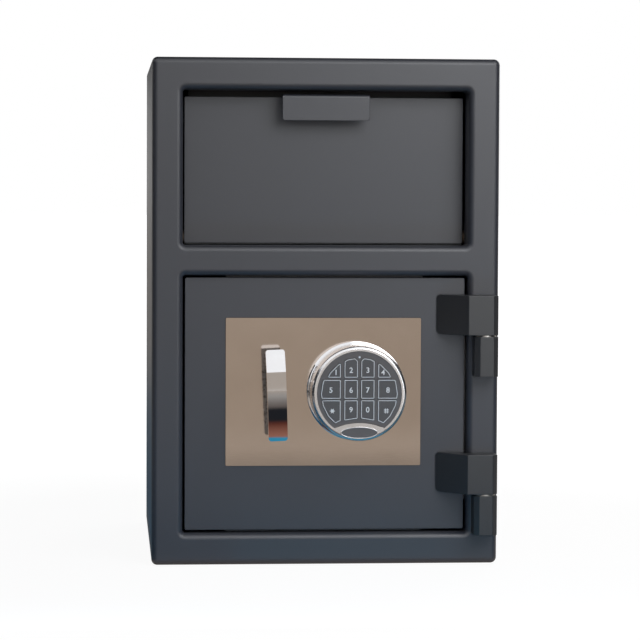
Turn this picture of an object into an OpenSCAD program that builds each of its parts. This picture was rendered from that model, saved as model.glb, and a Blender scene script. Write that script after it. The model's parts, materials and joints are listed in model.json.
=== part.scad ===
// Drop safe with a tilting deposit hopper, a hinged door, a round keypad and a bolt handle.
// Origin: middle of the underside of the body. X to the right, Y to the back, Z up.

/* [Body] */
// Width of the body
body_w = 350; // [346:1:420]
// Height of the body
body_h = 510; // [500:1:600]
// Depth of the body
body_d = 350; // [320:1:450]
// Thickness of the body plate
wall = 3; // [2:0.5:4]
// Radius of the outer front edges and corners
edge_r = 6; // [5:0.5:10]
// Depth of the turned rim of the front frame
rim_d = 20; // [12:1:30]
// How far the back plate is set in
back_inset = 4; // [0:1:10]
// Radius of an anchor hole in the floor
anchor_r = 7; // [4:0.5:9]
// Distance between anchor holes across the floor
anchor_dx = 230; // [150:5:260]
// Distance between anchor holes from front to back
anchor_dy = 230; // [120:5:250]

/* [Front frame] */
// Width of each side stile
stile_w = 31; // [28:0.5:34]
// Height of the bottom rail
sill_h = 32; // [28:0.5:40]
// Height of the top rail
head_h = 32; // [26:0.5:40]
// Height of the rail between the openings
mid_h = 30; // [26:0.5:40]
// Height of the door opening
door_open_h = 260; // [256:1:280]
// Radius of the folded lips round the openings
lip_r = 6; // [5:0.5:8]
// Radius of the corners of the openings
open_corner_r = 3; // [1:0.5:6]
// Length of the two door stop strips
stop_l = 200; // [100:5:240]
// How far a stop strip stands into the opening
stop_h = 6; // [4:0.5:8]
// Thickness of a stop strip
stop_t = 3; // [2:0.5:4]

/* [Door] */
// Thickness of the door plate
door_t = 12; // [10:0.5:14]
// How far the door lies behind the front of the frame
door_recess = 10; // [6:0.5:12]
// Gap round the door
door_gap = 2.4; // [1.8:0.1:3]
// Gap between the closed door and its stops
stop_gap = 0.4; // [0.2:0.1:1]
// Radius of the corners of the door
door_corner_r = 2; // [0.5:0.5:4]

/* [Hinges] */
// Pin axis to the side of the body
hinge_in = 15; // [13:0.5:18]
// Pin axis in front of the frame
pin_out = 14; // [13.8:0.1:18]
// Radius of a hinge pin
pin_r = 6; // [4:0.5:7]
// Half width of a hinge knuckle
knuckle_half = 11.8; // [10:0.1:12]
// Chamfer on the front edges of a knuckle
knuckle_chamfer = 5; // [4.5:0.5:6]
// Height of a knuckle
knuckle_h = 40; // [30:1:44]
// Gap between the two knuckles of a hinge
hinge_gap = 1.5; // [1:0.1:3]
// Underside of the lower hinge below the door opening
hinge_base = 0.5; // [0:0.5:4]
// Top of the upper hinge below the top of the door opening
hinge_top = 19; // [12:1:40]
// How far a door leaf reaches past the pin axis
leaf_reach = 47; // [36:1:60]
// Thickness of the thin edge of a leaf
leaf_edge_t = 2.5; // [1.5:0.5:5]
// Width of the flat front of a leaf left of the pin axis
leaf_flat = 18.8; // [14:0.2:22]
// Radius of the free corners of a leaf
leaf_corner_r = 4; // [1:0.5:8]

/* [Hopper] */
// How far the hopper panel lies behind the front of the frame
panel_recess = 33; // [28:0.5:40]
// Thickness of the hopper panel
panel_t = 3; // [2:0.25:3]
// Gap at each side of the panel
panel_side_gap = 2.25; // [1.5:0.25:4]
// Gap above the panel
panel_top_gap = 6.4; // [4:0.1:10]
// Gap below the panel
panel_base_gap = 1.8; // [0.5:0.1:2]
// Pivot axis behind the front of the panel
pivot_back = 9; // [9:0.5:11]
// Pivot axis above the lower edge of the panel
pivot_up = 5.2; // [5:0.1:8]
// Radius of a hopper pivot pin
hopper_pin_r = 4; // [3:0.25:4]
// Thickness of the tray and wings
tray_t = 2; // [1:0.5:2.5]
// Reach of the tray from the pivot axis
tray_reach = 95; // [80:1:110]
// Slope of the tray when the hopper is shut
tray_angle = 22.5; // [15:0.5:30]
// Radius of the side wings
wing_r = 120; // [112:1:130]
// How far the hopper tilts open
hopper_swing = 45; // [30:1:48]
// Running gap between the tray and the baffle
baffle_gap = 3; // [2:0.5:6]
// Pitch of the teeth of the comb
comb_pitch = 16; // [10:1:24]
// Depth of the teeth of the comb
comb_tooth = 8; // [4:0.5:10]
// Slope of the chute plate below the tray starts this far below the hopper opening
chute_drop = 7.4; // [6:0.1:10]
// Reach of the chute plate behind the front of the frame
chute_reach = 115; // [90:1:140]

/* [Finger pull] */
// Width of the finger pull
tab_w = 88; // [60:1:120]
// Height of the finger pull
tab_h = 26.2; // [18:0.2:34]
// How far the pull stands in front of the panel
tab_out = 25; // [18:0.5:26]
// Thickness of the pull
tab_t = 2; // [1.5:0.5:3]
// Radius of the bend and lower corners of the pull
tab_r = 3; // [3:0.5:5]

/* [Polished plate] */
// Width of the polished plate
plate_w = 198; // [190:1:204]
// Height of the polished plate
plate_h = 150; // [140:1:160]
// Thickness of the polished plate
plate_t = 1.2; // [0.8:0.1:2]
// Middle of the plate from the middle of the body
plate_x = -1.6; // [-4:0.2:4]
// Middle of the plate above the floor
plate_z = 174.2; // [170:0.2:180]

/* [Keypad] */
// Middle of the keypad from the middle of the body
keypad_x = 31; // [28:0.5:36]
// Middle of the keypad above the floor
keypad_z = 175.5; // [172:0.5:179]
// Radius of the keypad base
base_r = 50; // [49:0.5:51]
// Height of the keypad base
base_h = 7; // [4:0.5:10]
// Radius of the keypad shell
shell_r = 48; // [47.5:0.1:48.5]
// Height of the keypad above the plate
keypad_h = 42; // [40:0.5:46]
// Radius of the rounded shoulder of the shell
shoulder_r = 3; // [2:0.5:3.5]
// Radius of the dark face
face_r = 42.5; // [42.4:0.1:43]
// Thickness of the dark face
face_t = 3; // [2:0.5:4]
// How far the face lies below the ring
face_drop = 1; // [0.5:0.1:2]
// Upper edge of the battery cover below the middle
lens_drop = 29.2; // [28.5:0.1:30]
// Radius of the upper edge of the battery cover
lens_r = 60.8; // [56:0.2:66]
// Half width of the oval inlay
oval_half_w = 17.8; // [14:0.2:19]
// Half height of the oval inlay
oval_half_h = 5; // [4:0.1:5.2]
// Middle of the oval inlay below the middle
oval_drop = 39; // [38.8:0.1:39.5]
// Radius of the status light
light_r = 1; // [0.6:0.1:1.4]
// Status light above the middle
light_up = 36.4; // [36:0.1:38]

/* [Keys] */
// Inner edge of the two middle key columns
key_x1 = 1.5; // [1.2:0.1:2]
// Outer edge of the two middle key columns
key_x2 = 15.2; // [14:0.1:15.6]
// Inner edge of the two outer key columns
key_x3 = 18.5; // [18:0.1:19.5]
// Radius that bounds the top row of keys
key_top_r = 36.3; // [36:0.1:37]
// Radius that bounds the lower rows of keys
key_side_r = 38.6; // [38:0.1:39]
// Lower edge of the top row
key_row1 = 15.9; // [15.6:0.1:16.2]
// Upper edge of the middle row
key_row2 = 14.1; // [13.6:0.1:14.2]
// Lower edge of the middle row
key_row3 = -5.1; // [-5.2:0.1:-4.6]
// Upper edge of the lower row
key_row4 = -6.3; // [-6.8:0.1:-6.2]
// Gap between the lower row and the battery cover
key_lens_gap = 4.6; // [4:0.1:6]
// Corner radius of a key
key_round = 1.2; // [0.6:0.1:1.4]
// Clearance round a key
key_gap = 0.25; // [0.15:0.05:0.3]
// How far a key stands proud of the face
key_proud = 0.8; // [0.8:0.1:1.2]
// Travel of a key
key_travel = 0.8; // [0.5:0.1:0.8]

/* [Handle] */
// Spindle axis from the middle of the body
handle_x = -52; // [-55:0.5:-51]
// Spindle axis above the floor
handle_z = 189; // [187:0.5:191]
// Width of the handle bar
bar_w = 19; // [14:0.5:20]
// Length of the bar above the spindle
bar_up = 30.5; // [24:0.5:31]
// Length of the bar below the spindle
bar_down = 61; // [50:1:66]
// Front of the bar in front of the plate
bar_out = 48; // [44:0.5:52]
// Thickness of the bar at the spindle
bar_t = 8; // [6:0.5:10]
// Tilt of the flat above the spindle
bar_tilt = 14; // [8:1:20]
// Bow of the bar below the spindle
bar_bow = 18; // [10:1:24]
// Lean of the handle at rest
bar_lean = 2.3; // [0:0.1:5]
// Radius of the handle neck
neck_r = 6.5; // [6.2:0.1:9]
// Radius of the spindle
spindle_r = 5; // [4:0.5:5]

/* [Boltwork] */
// Number of locking bolts
bolt_n = 3; // [2:1:3]
// Radius of a locking bolt
bolt_r = 9; // [6:0.5:9.5]
// Distance between locking bolts
bolt_pitch = 72; // [50:1:76]
// Travel of the locking bolts
bolt_travel = 20; // [16:1:22]
// Drawn-in bolt tips inside the edge of the door
bolt_in = 5; // [5:0.5:8]
// Thickness of the carrier plate
carrier_t = 5; // [3:0.5:6]
// Gap between the carrier and the inner cover above and below
carrier_end_gap = 8.5; // [6:0.5:12]
// Width of the carrier's upright
upright_w = 24; // [18:1:26]
// Height of the carrier's end arms
arm_h = 20; // [16:1:20]
// Thickness of the bolt guide
guide_t = 6; // [4:0.5:7]
// Cam radius
cam_r = 19; // [18.5:0.5:20]
// Radius of the drive pin on the cam
drive_pin_r = 4; // [3:0.5:4.5]
// Radius of a guide post
post_r = 4; // [3:0.5:5]
// How far the middle arm of the carrier reaches below the spindle axis
mid_arm_low = 27; // [24:0.5:30]
// How far the middle arm of the carrier reaches above the spindle axis
mid_arm_high = 11; // [8:0.5:14]
// Chamfer on the tip of a locking bolt
bolt_nose = 1.5; // [0.5:0.5:2]
// Width of the dead bar's foot
dead_foot = 11; // [8:0.5:12]
// Dead bar's foot inside the door's edge
dead_in = 1; // [0.5:0.5:3]
// How far the dead bar stands past the door's edge
dead_out = 10; // [6:0.5:11]

/* [Lock] */
// Width of the lock case
lock_w = 84; // [76:1:90]
// Height of the lock case
lock_h = 60; // [54:1:66]
// Thickness of the lock case
lock_t = 30; // [26:0.5:31]
// Gap between the lock case and the carrier
lock_gap = 1; // [0.5:0.1:1.5]
// Gap between the lock case and the cam
lock_clear = 8; // [6:0.5:12]
// Radius of the swing bolt
swing_r = 18; // [16:0.5:18]
// Swing bolt axis inside the case
swing_in = 4; // [3.6:0.1:6]
// Swing bolt axis below the middle of the case
swing_drop = 9.5; // [8:0.5:11]
// Radius of the swing bolt's pin
swing_pin_r = 2.5; // [1.5:0.1:3]

/* [Inner cover] */
// Depth of the inner cover
cover_d = 35.5; // [34.5:0.5:37]
// Thickness of the inner cover
cover_t = 1.5; // [1:0.1:1.8]
// Upper and lower edge of the cover inside the door's edge
cover_in = 8; // [7:0.5:10]
// Width of the cover's screw flanges
cover_flange = 10; // [8:0.5:11]
// Gap between the cover and the dead bar
cover_gap = 2; // [1:0.5:4]

/* [Hidden] */
$fn = 64;

// Colours
paint = [0.27, 0.28, 0.31];
dark_paint = [0.2, 0.21, 0.23];
chrome = [0.8, 0.8, 0.82];
taupe = [0.57, 0.51, 0.45];
steel = [0.6, 0.6, 0.62];
bronze = [0.7, 0.5, 0.28];
dark_face = [0.16, 0.16, 0.18];
key_grey = [0.24, 0.24, 0.26];
zinc = [0.5, 0.51, 0.53];
rubber = [0.1, 0.1, 0.1];

// Clearances
press_gap = 0.02;
run_gap = 0.06;
seat_gap = 0.3;
slide_gap = 0.1;

// Body and frame
front_y = -body_d / 2;
back_y = body_d / 2;
open_w = body_w - 2 * stile_w;
hopper_open_z = sill_h + door_open_h + mid_h;
hopper_open_h = body_h - head_h - hopper_open_z;
hopper_jamb_gap = 1.5;

// Door
door_w = open_w - 2 * door_gap;
door_h = door_open_h - 2 * door_gap;
door_mid_z = sill_h + door_open_h / 2;
door_front_y = front_y + door_recess;
door_back_y = door_front_y + door_t;
door_jamb_d = door_recess + door_t + stop_gap;
jamb_back_y = front_y + door_jamb_d;
plate_front_y = door_front_y - plate_t;

// Hinges
hinge_x = body_w / 2 - hinge_in;
hinge_y = front_y - pin_out;
hinge_low_z = sill_h - hinge_base;
hinge_up_z = sill_h + door_open_h - hinge_top - 2 * knuckle_h - hinge_gap;
knuckle_front = 12;
leaf_clear = 0.6;
pin_cap_t = 5;

// Hopper, in its shut place
panel_front_y = front_y + panel_recess;
panel_w = open_w - 2 * panel_side_gap;
panel_z = hopper_open_z + panel_base_gap;
panel_h = hopper_open_h - panel_base_gap - panel_top_gap;
pivot_y = panel_front_y + pivot_back;
pivot_z = panel_z + pivot_up;
panel_back = panel_t - pivot_back;
tray_drop = hopper_pin_r + 2;
hem_h = 6;
wing_inset = 0.75;
wing_x = panel_w / 2 - wing_inset;
tray_w = 2 * (wing_x - tray_t);
baffle_r = tray_reach + baffle_gap;
baffle_t = 2;
baffle_low = 3;
baffle_high = 62;
baffle_side_gap = 3;
baffle_w = tray_w - 2 * baffle_side_gap;
bracket_t = 4;
bracket_r = 15;
bush_wall = 2;
bush_r = hopper_pin_r + bush_wall;
lug_r = 100;
lug_size = 10;

// Keypad, heights above the polished plate
face_z = keypad_h - face_drop - face_t;
key_skirt_h = 4;
mat_z = face_z - key_skirt_h;
mat_t = 1.4;
key_low_z = mat_z + mat_t + key_travel + 0.2;
key_top_z = face_z + face_t + key_proud;
ring_out_r = shell_r - shoulder_r;
cable_r = 6;
light_half = 5.3;

// Boltwork, seen from the front with the bolts drawn in
bolt_y = door_back_y + bolt_r + 2;
tip_x = -door_w / 2 + bolt_in;
guide_x = tip_x + 2 * bolt_nose;
carrier_x = guide_x + guide_t + bolt_travel + 2;
carrier_y = bolt_y - carrier_t / 2;
flange_t = 5;
screw_head_r = 6;
screw_head_h = 6;
cam_t = 5;
cam_y = door_back_y + 1.5;
drive_x = 10;
drive_slot = drive_pin_r + 0.6;
arm_end_x = -40;
post_x = -72;
bush_flange_t = 1.2;
dead_lip_gap = 4;
dead_depth = 15;
bush_out_r = spindle_r + 3;
lock_x = handle_x + cam_r + lock_clear;
swing_x = lock_x + swing_in;
swing_z = keypad_z - swing_drop;
swing_hub_r = 2 * swing_pin_r;
swing_gap = 0.4;
swing_side = 2.3;
swing_t = carrier_t + 2 * swing_side;
lock_screw_r = 3;
lock_head_r = lock_screw_r + 2;
lock_head_t = 2;
cover_half = door_h / 2 - cover_in - cover_flange;
cover_left = tip_x + bolt_nose;
cover_right = door_w / 2 - dead_in - dead_foot - cover_gap;
cover_back_y = door_back_y + cover_d;
carrier_half = cover_half - cover_t - carrier_end_gap;

// Points of an arc round (x, y) from angle a to angle b
function arc(x, y, r, a, b, n = 8) =
    [for (i = [0:n]) [x + r * cos(a + (b - a) * i / n), y + r * sin(a + (b - a) * i / n)]];

// Rectangle with round corners, from straight edges and true arcs
module round_rect(w, h, r) {
    square([w - 2 * r, h], center = true);
    square([w, h - 2 * r], center = true);
    for (sx = [-1, 1], sy = [-1, 1])
        translate([sx * (w / 2 - r), sy * (h / 2 - r)]) circle(r);
}

// Puts a flat drawing on an upright plane: drawing y becomes Z, its height points to the front
module upright(x, y, z) {
    translate([x, y, z]) rotate([90, 0, 0]) children();
}

// Extrudes a side view drawn in (Y, Z) along X, centred on x
module side_view(x, length) {
    translate([x - length / 2, 0, 0]) rotate([90, 0, 90]) linear_extrude(length) children();
}

// Sweeps a profile round a rectangle with corner radius r; the profile's x points outwards
module swept_ring(w, h, r) {
    for (q = [0:3]) {
        run = q % 2 == 0 ? w : h;
        off = q % 2 == 0 ? h : w;
        rotate([0, 0, 90 * q]) {
            translate([r - run / 2, off / 2, 0]) rotate([90, 0, 90])
                linear_extrude(run - 2 * r) children();
            translate([run / 2 - r, off / 2 - r, 0])
                rotate_extrude(angle = 90) translate([r, 0]) children();
        }
    }
}

// Quarter of a bent sheet, outer radius r and thickness t, in the first quadrant
module quarter_bend(r, t) {
    intersection() {
        difference() {
            circle(r);
            circle(r - t);
        }
        square(r + 1);
    }
}

// Body

module body_wrap() {
    color(paint) difference() {
        upright(0, back_y, body_h / 2) linear_extrude(body_d - rim_d) difference() {
            round_rect(body_w, body_h, edge_r);
            round_rect(body_w - 2 * wall, body_h - 2 * wall, edge_r - wall);
        }
        for (sx = [-1, 1], sy = [-1, 1])
            translate([sx * anchor_dx / 2, sy * anchor_dy / 2, -1]) cylinder(r = anchor_r, h = wall + 2);
    }
}

module back_plate() {
    color(paint) upright(0, back_y - back_inset, body_h / 2) linear_extrude(wall)
        round_rect(body_w - 2 * wall, body_h - 2 * wall, edge_r - wall);
}

module rim_profile() {
    translate([-edge_r, -edge_r]) quarter_bend(edge_r, wall);
    translate([-wall, -rim_d]) square([wall, rim_d - edge_r]);
}

module lip_profile(depth) {
    translate([lip_r, -lip_r]) mirror([1, 0]) quarter_bend(lip_r, wall);
    translate([0, -depth]) square([wall, depth - lip_r]);
}

module opening(z, h, jamb_d, part) {
    translate([0, z + h / 2 - body_h / 2, 0]) {
        if (part == "lip")
            swept_ring(open_w, h, open_corner_r) lip_profile(jamb_d);
        else
            translate([0, 0, -2 * wall]) linear_extrude(4 * wall)
                round_rect(open_w + 2 * lip_r, h + 2 * lip_r, open_corner_r + lip_r);
    }
}

module front_frame() {
    hopper_jamb_d = panel_recess - hopper_jamb_gap;
    color(paint) upright(0, front_y, body_h / 2) {
        swept_ring(body_w, body_h, edge_r) rim_profile();
        difference() {
            translate([0, 0, -wall]) linear_extrude(wall)
                square([body_w - 2 * edge_r, body_h - 2 * edge_r], center = true);
            opening(sill_h, door_open_h, door_jamb_d, "cut");
            opening(hopper_open_z, hopper_open_h, hopper_jamb_d, "cut");
        }
        opening(sill_h, door_open_h, door_jamb_d, "lip");
        opening(hopper_open_z, hopper_open_h, hopper_jamb_d, "lip");
    }
}

module door_stops() {
    strip_h = stop_h + wall;
    color(dark_paint)
        for (z = [sill_h - wall, sill_h + door_open_h - stop_h])
            translate([-stop_l / 2, jamb_back_y, z]) cube([stop_l, stop_t, strip_h]);
}

// Hinges, drawn round the pin axis: x to the right, y to the back

module knuckle_front_points() {
    polygon([
        [-knuckle_half, 0], [-knuckle_half, knuckle_chamfer - knuckle_front],
        [knuckle_chamfer - knuckle_half, -knuckle_front], [knuckle_half - knuckle_chamfer, -knuckle_front],
        [knuckle_half, knuckle_chamfer - knuckle_front], [knuckle_half, 0]
    ]);
}

module frame_knuckle(z) {
    color(dark_paint) translate([hinge_x, hinge_y, z]) difference() {
        linear_extrude(knuckle_h) {
            knuckle_front_points();
            translate([-knuckle_half, 0]) square([2 * knuckle_half, pin_out]);
        }
        translate([0, 0, -1]) cylinder(r = pin_r + press_gap, h = knuckle_h + 2);
    }
}

module hinge_leaf(z) {
    door_edge = door_w / 2 - hinge_x;
    door_face = door_front_y - hinge_y;
    underside = pin_out - leaf_clear;
    blind = knuckle_h - pin_cap_t;
    leaf_l = leaf_reach + knuckle_half + leaf_corner_r;
    color(dark_paint) translate([hinge_x, hinge_y, z + knuckle_h + hinge_gap]) difference() {
        intersection() {
            linear_extrude(knuckle_h) {
                polygon([
                    [-leaf_reach, door_face], [-leaf_reach, door_face - leaf_edge_t],
                    [-leaf_flat, -knuckle_front], [0, -knuckle_front],
                    [0, underside], [door_edge, underside], [door_edge, door_face]
                ]);
                intersection() {
                    knuckle_front_points();
                    translate([0, -knuckle_front]) square([knuckle_half, knuckle_front]);
                }
                intersection() {
                    circle(underside);
                    square([knuckle_half, underside]);
                }
            }
            translate([leaf_l / 2 - leaf_reach, 0, knuckle_h / 2]) rotate([90, 0, 0])
                linear_extrude(4 * pin_out + 4 * door_face, center = true)
                    union() {
                        round_rect(leaf_l, knuckle_h, leaf_corner_r);
                        translate([0, -knuckle_h / 2]) square([leaf_l / 2, knuckle_h]);
                    }
        }
        translate([0, 0, -1]) cylinder(r = pin_r + run_gap, h = blind + 1);
    }
}

module hinge_knuckle_upper() {
    frame_knuckle(hinge_up_z);
}

module hinge_knuckle_lower() {
    frame_knuckle(hinge_low_z);
}

module hinge_leaf_upper() {
    hinge_leaf(hinge_up_z);
}

module hinge_leaf_lower() {
    hinge_leaf(hinge_low_z);
}

module hinge_pins() {
    foot = 3;
    head_room = 7;
    color(steel)
        for (z = [hinge_low_z, hinge_up_z])
            translate([hinge_x, hinge_y, z + foot])
                cylinder(r = pin_r, h = 2 * knuckle_h + hinge_gap - foot - head_room);
}

module hinge_washers() {
    slack = 0.05;
    color(bronze)
        for (z = [hinge_low_z, hinge_up_z])
            translate([hinge_x, hinge_y, z + knuckle_h]) difference() {
                cylinder(r = knuckle_half - 1.5, h = hinge_gap - slack);
                translate([0, 0, -1]) cylinder(r = pin_r + slide_gap, h = hinge_gap + 2);
            }
}

// Fixed pieces round the hopper, drawn in a side view with the pivot axis at the origin

module at_pivot() {
    translate([0, pivot_y, pivot_z]) children();
}

module hopper_brackets() {
    jamb_end = -pivot_back - hopper_jamb_gap;
    color(dark_paint) at_pivot()
        for (s = [-1, 1])
            side_view(s * (open_w + bracket_t) / 2, bracket_t) difference() {
                union() {
                    circle(bracket_r);
                    translate([jamb_end, -bracket_r]) square([-jamb_end, 2 * bracket_r]);
                }
                translate([jamb_end - bracket_r, -bracket_r]) square([bracket_r, 2 * bracket_r]);
                circle(bush_r + press_gap);
            }
}

module hopper_bushes() {
    flange = panel_side_gap - seat_gap;
    color(bronze) at_pivot()
        for (s = [-1, 1]) {
            side_view(s * (open_w / 2 - flange / 2), flange) difference() {
                circle(bush_r + bush_wall);
                circle(hopper_pin_r + run_gap);
            }
            side_view(s * (open_w + bracket_t) / 2, bracket_t) difference() {
                circle(bush_r);
                circle(hopper_pin_r + run_gap);
            }
        }
}

module chute_plate() {
    top_z = hopper_open_z - chute_drop;
    rear_y = front_y + chute_reach;
    fall = (rear_y - jamb_back_y) * tan(tray_angle);
    foot_z = sill_h + door_open_h + wall;
    color(dark_paint) side_view(0, body_w - 2 * wall) polygon([
        [jamb_back_y - tray_t, foot_z], [jamb_back_y, foot_z],
        [jamb_back_y, top_z - tray_t], [rear_y, top_z - fall - tray_t],
        [rear_y, top_z - fall], [jamb_back_y - tray_t, top_z]
    ]);
}

module baffle() {
    top = body_h - wall - pivot_z;
    bend_y = baffle_r * cos(baffle_high);
    bend_z = baffle_r * sin(baffle_high);
    far = 2 * baffle_r;
    mid = (baffle_low + baffle_high) / 2;
    foot_d = 20;
    color(dark_paint) at_pivot() side_view(0, baffle_w) {
        intersection() {
            difference() {
                circle(baffle_r + baffle_t);
                circle(baffle_r);
            }
            polygon([
                [0, 0], far * [cos(baffle_low), sin(baffle_low)],
                far * [cos(mid), sin(mid)], far * [cos(baffle_high), sin(baffle_high)]
            ]);
        }
        translate([bend_y, bend_z]) square([baffle_t, top - bend_z]);
        translate([bend_y, top - baffle_t]) square([foot_d, baffle_t]);
    }
}

module baffle_comb() {
    comb_top = 16;
    n = floor(baffle_w / comb_pitch);
    half = n * comb_pitch / 2;
    teeth = [for (i = [0:n - 1], k = [0, 1]) [half - (i + 0.5 * k) * comb_pitch, k == 0 ? 0 : -comb_tooth]];
    color(steel) at_pivot() translate([0, baffle_r + 2 * baffle_t, 0]) rotate([90, 0, 0])
        linear_extrude(baffle_t) polygon(concat([[-half, 0], [-half, comb_top], [half, comb_top]], teeth));
}

// Hopper, which tilts about its pivot axis

module hopper_panel() {
    panel_corner_r = 1.5;
    color(paint) upright(0, panel_front_y + panel_t, panel_z + panel_h / 2)
        linear_extrude(panel_t) round_rect(panel_w, panel_h, panel_corner_r);
}

module finger_pull() {
    panel_top = panel_z + panel_h;
    reach = tab_out + panel_t;
    color(paint) translate([0, panel_front_y + panel_t, panel_top]) {
        translate([-tab_w / 2, tab_r - reach, 0]) cube([tab_w, reach - tab_r, tab_t]);
        side_view(0, tab_w) translate([tab_r - reach, tab_t - tab_r]) mirror([1, 0]) quarter_bend(tab_r, tab_t);
        translate([0, tab_t - reach, 0]) rotate([90, 0, 0]) linear_extrude(tab_t) {
            translate([-tab_w / 2, tab_t - tab_h / 2]) square([tab_w, tab_h / 2 - tab_r]);
            translate([0, tab_t - tab_h * 0.5 - tab_r / 2]) round_rect(tab_w, tab_h - tab_r, tab_r);
        }
    }
}

// Point of the tray's side view: u along the tray from the pivot, w square to it
function on_tray(u, w) = [
    u * cos(tray_angle) + w * sin(tray_angle),
    w * cos(tray_angle) - u * sin(tray_angle)
];

// Distance along the tray at which height w meets the back of the panel
function tray_start(w) = (panel_back - w * sin(tray_angle)) / cos(tray_angle);

module hopper_tray() {
    top = -tray_drop;
    low = top - tray_t;
    end = sqrt(tray_reach * tray_reach - (low - hem_h) * (low - hem_h));
    flange_h = 12;
    flange_inset = 12;
    color(dark_paint) at_pivot() {
        side_view(0, tray_w) polygon([
            on_tray(tray_start(low), low), on_tray(end - tray_t, low), on_tray(end - tray_t, low - hem_h),
            on_tray(end, low - hem_h), on_tray(end, top), on_tray(tray_start(top), top)
        ]);
        side_view(0, tray_w - 2 * flange_inset)
            translate([panel_back, on_tray(tray_start(top), top)[1] - tray_t]) square([tray_t, flange_h]);
    }
}

module hopper_wing(s) {
    low = -tray_drop - tray_t;
    panel_top = panel_h - pivot_up - 2;
    lean = 70;
    color(dark_paint) at_pivot() difference() {
        side_view(s * (wing_x - tray_t / 2), tray_t) polygon(concat(
            [on_tray(tray_start(low), low), [panel_back, panel_top]],
            arc(0, 0, wing_r, lean, asin(low / wing_r) - tray_angle, 16)
        ));
        side_view(s * wing_x, 4 * tray_t) circle(hopper_pin_r + press_gap);
    }
}

module hopper_wing_left() {
    hopper_wing(-1);
}

module hopper_wing_right() {
    hopper_wing(1);
}

module hopper_pins() {
    head_t = 2;
    head_r = hopper_pin_r + 1.6;
    end_out = open_w / 2 + bracket_t + 2;
    inner = wing_x - tray_t;
    color(steel) at_pivot()
        for (s = [-1, 1]) {
            side_view(s * (inner - head_t / 2), head_t) circle(head_r);
            side_view(s * (inner + end_out) / 2, end_out - inner) circle(hopper_pin_r);
        }
}

module hopper_stop_lugs() {
    lug_gap = 0.4;
    jamb_end = -pivot_back - hopper_jamb_gap;
    lug_w = open_w / 2 - wing_x + wall + 1;
    color(steel) at_pivot() rotate([-hopper_swing, 0, 0])
        for (s = [-1, 1])
            side_view(s * (wing_x + lug_w / 2), lug_w)
                translate([jamb_end + lug_gap, lug_r - lug_size / 2]) square(lug_size);
}

// Door

module door_plate() {
    color(paint) upright(0, door_back_y, 0) difference() {
        linear_extrude(door_t) translate([0, door_mid_z]) round_rect(door_w, door_h, door_corner_r);
        translate([handle_x, handle_z, -1]) cylinder(r = bush_out_r + press_gap, h = door_t + 2);
        translate([keypad_x, keypad_z, -1]) cylinder(r = cable_r, h = door_t + 2);
    }
}

module polished_plate() {
    plate_corner_r = 1.5;
    color(taupe) upright(0, door_front_y, 0) difference() {
        linear_extrude(plate_t) translate([plate_x, plate_z]) round_rect(plate_w, plate_h, plate_corner_r);
        translate([handle_x, handle_z, -1]) cylinder(r = spindle_r + seat_gap, h = plate_t + 2);
        translate([keypad_x, keypad_z, -1]) cylinder(r = cable_r, h = plate_t + 2);
    }
}

module dead_bar() {
    foot_x = door_w / 2 - dead_foot - dead_in;
    lip_x = door_w / 2 - dead_in;
    lip_y = jamb_back_y + dead_lip_gap;
    color(steel) translate([0, 0, door_mid_z - carrier_half]) {
        translate([foot_x, door_back_y, 0]) cube([dead_foot, dead_depth, 2 * carrier_half]);
        translate([lip_x, lip_y, 0])
            cube([dead_out + dead_in, door_back_y + dead_depth - lip_y, 2 * carrier_half]);
    }
}

// Height of locking bolt i
function bolt_z(i) = door_mid_z + (i - (bolt_n - 1) / 2) * bolt_pitch;

// Places one child at the height of each locking bolt
module each_bolt() {
    for (i = [0:bolt_n - 1])
        translate([0, bolt_y, bolt_z(i)]) children();
}

module bolt_guide() {
    edge = (bolt_n - 1) / 2 * bolt_pitch + 2 * bolt_r;
    depth = 2 * bolt_r + 4;
    color(steel) difference() {
        translate([guide_x, door_back_y, door_mid_z - edge]) cube([guide_t, depth, 2 * edge]);
        each_bolt() translate([guide_x - 1, 0, 0]) rotate([0, 90, 0])
            cylinder(r = bolt_r + slide_gap, h = guide_t + 2);
    }
}

module guide_posts() {
    collar_r = post_r + 2.5;
    head_t = 3;
    collar_l = carrier_y - door_back_y - seat_gap;
    color(steel)
        for (s = [-1, 1])
            translate([post_x, door_back_y, door_mid_z + s * (carrier_half - arm_h / 2)]) rotate([-90, 0, 0]) {
                cylinder(r = collar_r, h = collar_l);
                cylinder(r = post_r, h = collar_l + carrier_t + 2 * seat_gap);
                translate([0, 0, collar_l + carrier_t + 2 * seat_gap]) cylinder(r = collar_r, h = head_t);
            }
}

module spindle_bush() {
    color(bronze) upright(handle_x, door_back_y, handle_z) difference() {
        union() {
            cylinder(r = bush_out_r, h = door_t);
            translate([0, 0, -bush_flange_t]) cylinder(r = bush_out_r + 3, h = bush_flange_t);
        }
        translate([0, 0, -bush_flange_t - 1]) cylinder(r = spindle_r + run_gap, h = door_t + bush_flange_t + 2);
    }
}

module inner_cover() {
    w = cover_right - cover_left;
    mid = (cover_left + cover_right) / 2;
    hole_gap = 1;
    color(paint) difference() {
        union() {
            upright(mid, cover_back_y, door_mid_z) linear_extrude(cover_d) difference() {
                square([w, 2 * cover_half], center = true);
                square([w - 2 * cover_t, 2 * (cover_half - cover_t)], center = true);
            }
            upright(mid, cover_back_y, door_mid_z) linear_extrude(cover_t)
                square([w, 2 * cover_half], center = true);
            for (s = [-1, 1])
                upright(mid, door_back_y + cover_t, door_mid_z + s * (cover_half + (cover_flange - cover_t) / 2))
                    linear_extrude(cover_t) square([w, cover_flange + cover_t], center = true);
        }
        each_bolt() translate([cover_left - 1, 0, 0]) rotate([0, 90, 0])
            cylinder(r = bolt_r + hole_gap, h = cover_t + 2);
    }
}

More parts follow.
